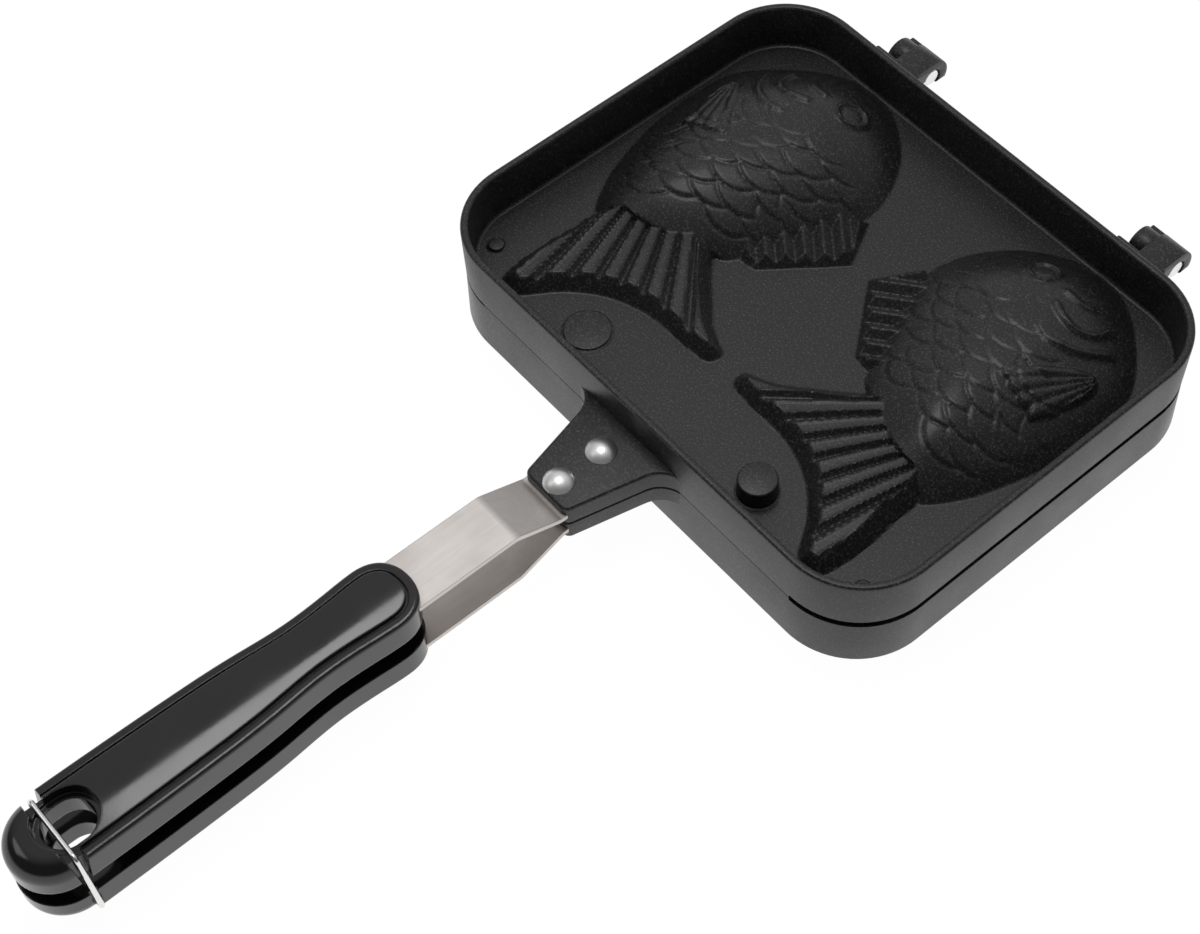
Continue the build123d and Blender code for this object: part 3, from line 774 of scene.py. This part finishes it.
def dress():
    """Castings and materials of every piece."""
    coating = coating_material()
    for name, node, body, lower in (
        ("upper_casting", "upper_pan", "lid", False), ("lower_casting", "lower_pan", "base", True),
    ):
        casting = half_pan(name, node, body, lower)
        casting.data.materials.append(coating)
    finishes = {"grip": grip_material()}
    for ending, *recipe in BARE_METALS:
        finishes[ending] = metal_material(*recipe)
    for name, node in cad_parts.items():
        for ending, mat in finishes.items():
            if name.endswith(ending):
                node.data.materials.clear()
                node.data.materials.append(mat)


# ---------------------------------------------------------------- camera, light and floor
CAMERA_PLACE = (0.28636, -0.29881, 0.55622)
CAMERA_AZIMUTH = 49.67
CAMERA_ELEVATION = 55.29
CAMERA_ROLL = -0.82
FOCAL_PIXELS = 2347.36
IMAGE_WIDTH = 1200
IMAGE_HEIGHT = 934
PRINCIPAL = (672.8, 423.7)  # the pixel that the camera points at
SENSOR_WIDTH = 36.0
LIGHTS = (                  # name, place, aimed at, size, power
    ("overhead", (-0.22, 0.085, 1.2), (-0.22, 0.085, 0), (0.48, 0.45), 3.2),    # mirrored by the grips
    ("front", (-0.7, -0.8, 1.1), (0, -0.15, 0.03), (0.5, 0.5), 1.0),
)
WORLD_BRIGHT_SIDE = (-0.45, 0.6, 0.66)      # towards the palest part of the surroundings
WORLD_HIGH = 0.6            # brightness there
WORLD_LOW = 0.1             # and on the far side
WORLD_FADE = (0.2, 0.98)    # alignment with the bright side, from low to high
WORLD_HORIZON = 1.0         # white backdrop, low all round
HORIZON_FADE = (0.02, 0.25) # rise of the direction over which it ends
WHITE = (1, 1, 1, 1)
FLOOR_SIZE = 6
FLOOR_COLOUR = (0.88, 0.88, 0.88, 1)
FLOOR_ROUGHNESS = 0.9
FLOOR_GLOW = 0.93           # how much of the floor is seen as plain white
FLOOR_WHITE = 1.05          # brightness of that part


def make_camera():
    """Camera at the photograph's place."""
    azimuth, elevation, roll = (math.radians(v) for v in (CAMERA_AZIMUTH, CAMERA_ELEVATION, CAMERA_ROLL))
    level = math.cos(elevation)
    back = Vector((math.sin(azimuth) * level, -math.cos(azimuth) * level, math.sin(elevation)))
    right = Vector((math.cos(azimuth), math.sin(azimuth), 0))
    up = back.cross(right)
    x_axis = math.cos(roll) * right + math.sin(roll) * up
    y_axis = -math.sin(roll) * right + math.cos(roll) * up
    turn = Matrix((x_axis, y_axis, back)).transposed().to_4x4()
    data = bpy.data.cameras.new("camera")
    data.sensor_fit = "HORIZONTAL"
    data.sensor_width = SENSOR_WIDTH
    data.lens = FOCAL_PIXELS / IMAGE_WIDTH * SENSOR_WIDTH
    data.shift_x = -(PRINCIPAL[0] - IMAGE_WIDTH / 2) / IMAGE_WIDTH
    data.shift_y = (PRINCIPAL[1] - IMAGE_HEIGHT / 2) / IMAGE_WIDTH
    data.clip_start, data.clip_end = 0.05, 20
    camera = bpy.data.objects.new("camera", data)
    camera.matrix_world = Matrix.Translation(CAMERA_PLACE) @ turn
    bpy.context.scene.collection.objects.link(camera)
    bpy.context.scene.camera = camera


def area_light(name, place, target, size, power):
    """Soft rectangular light aimed at a point."""
    data = bpy.data.lights.new(name, "AREA")
    data.shape = "RECTANGLE"
    data.size, data.size_y = size
    data.energy = power
    light = bpy.data.objects.new(name, data)
    direction = Vector(target) - Vector(place)
    turn = direction.to_track_quat("-Z", "Y").to_matrix().to_4x4()
    light.matrix_world = Matrix.Translation(place) @ turn
    bpy.context.scene.collection.objects.link(light)


def make_world():
    """Surroundings with a pale side, a dim side and a white backdrop; the camera sees white."""
    world = bpy.data.worlds.new("world")
    bpy.context.scene.world = world
    world.use_nodes = True
    tree = world.node_tree
    tree.nodes.clear()
    add = node_adder(tree)
    out = add("ShaderNodeOutputWorld")
    place = add("ShaderNodeTexCoord")
    facing = add("ShaderNodeVectorMath", operation="DOT_PRODUCT")
    facing.inputs[1].default_value = WORLD_BRIGHT_SIDE
    level = add("ShaderNodeSeparateXYZ")
    side = map_range(tree, add, facing.outputs["Value"], WORLD_LOW, WORLD_HIGH, *WORLD_FADE)
    horizon = map_range(tree, add, level.outputs["Z"], WORLD_HORIZON, 0, *HORIZON_FADE)
    brighter = add("ShaderNodeMath", operation="MAXIMUM")
    graded = add("ShaderNodeBackground", Color=WHITE)
    white = add("ShaderNodeBackground", Color=WHITE)
    path = add("ShaderNodeLightPath")
    seen = add("ShaderNodeMath", operation="MAXIMUM")
    choose = add("ShaderNodeMixShader")
    link(
        tree,
        (place.outputs["Generated"], facing.inputs[0]), (place.outputs["Generated"], level.inputs[0]),
        (side, brighter.inputs[0]), (horizon, brighter.inputs[1]),
        (brighter.outputs[0], graded.inputs["Strength"]),
        (path.outputs["Is Camera Ray"], seen.inputs[0]),
        (path.outputs["Is Transmission Ray"], seen.inputs[1]),
        (seen.outputs[0], choose.inputs[0]), (graded.outputs[0], choose.inputs[1]),
        (white.outputs[0], choose.inputs[2]), (choose.outputs[0], out.inputs[0]),
    )


def make_floor():
    """Plain white floor that keeps a light shadow of the object and is clear from below."""
    bpy.ops.mesh.primitive_plane_add(size=FLOOR_SIZE, location=(0, 0, 0))
    floor = bpy.context.object
    floor.name = "floor"
    mat, tree, shader, add = material("floor")
    shader.inputs["Base Color"].default_value = FLOOR_COLOUR
    shader.inputs["Roughness"].default_value = FLOOR_ROUGHNESS
    glow = add("ShaderNodeEmission", Strength=FLOOR_WHITE)
    path = add("ShaderNodeLightPath")
    seen = add("ShaderNodeMath", operation="ADD")
    shown = add("ShaderNodeMath", operation="MAXIMUM")
    share = add("ShaderNodeMath", operation="MULTIPLY")
    share.inputs[1].default_value = FLOOR_GLOW
    choose = add("ShaderNodeMixShader")
    side = add("ShaderNodeNewGeometry")
    clear = add("ShaderNodeBsdfTransparent")
    one_sided = add("ShaderNodeMixShader")
    link(
        tree,
        (path.outputs["Is Camera Ray"], seen.inputs[0]), (path.outputs["Is Glossy Ray"], seen.inputs[1]),
        (seen.outputs[0], shown.inputs[0]), (path.outputs["Is Transmission Ray"], shown.inputs[1]),
        (shown.outputs[0], share.inputs[0]), (share.outputs[0], choose.inputs[0]),
        (shader.outputs[0], choose.inputs[1]), (glow.outputs[0], choose.inputs[2]),
        (side.outputs["Backfacing"], one_sided.inputs[0]), (choose.outputs[0], one_sided.inputs[1]),
        (clear.outputs[0], one_sided.inputs[2]),
        (one_sided.outputs[0], tree.nodes["Material Output"].inputs["Surface"]),
    )
    floor.data.materials.append(mat)


dress()
make_camera()
for light in LIGHTS:
    area_light(*light)
make_world()
make_floor()

bpy.context.scene.view_settings.view_transform = "Standard"
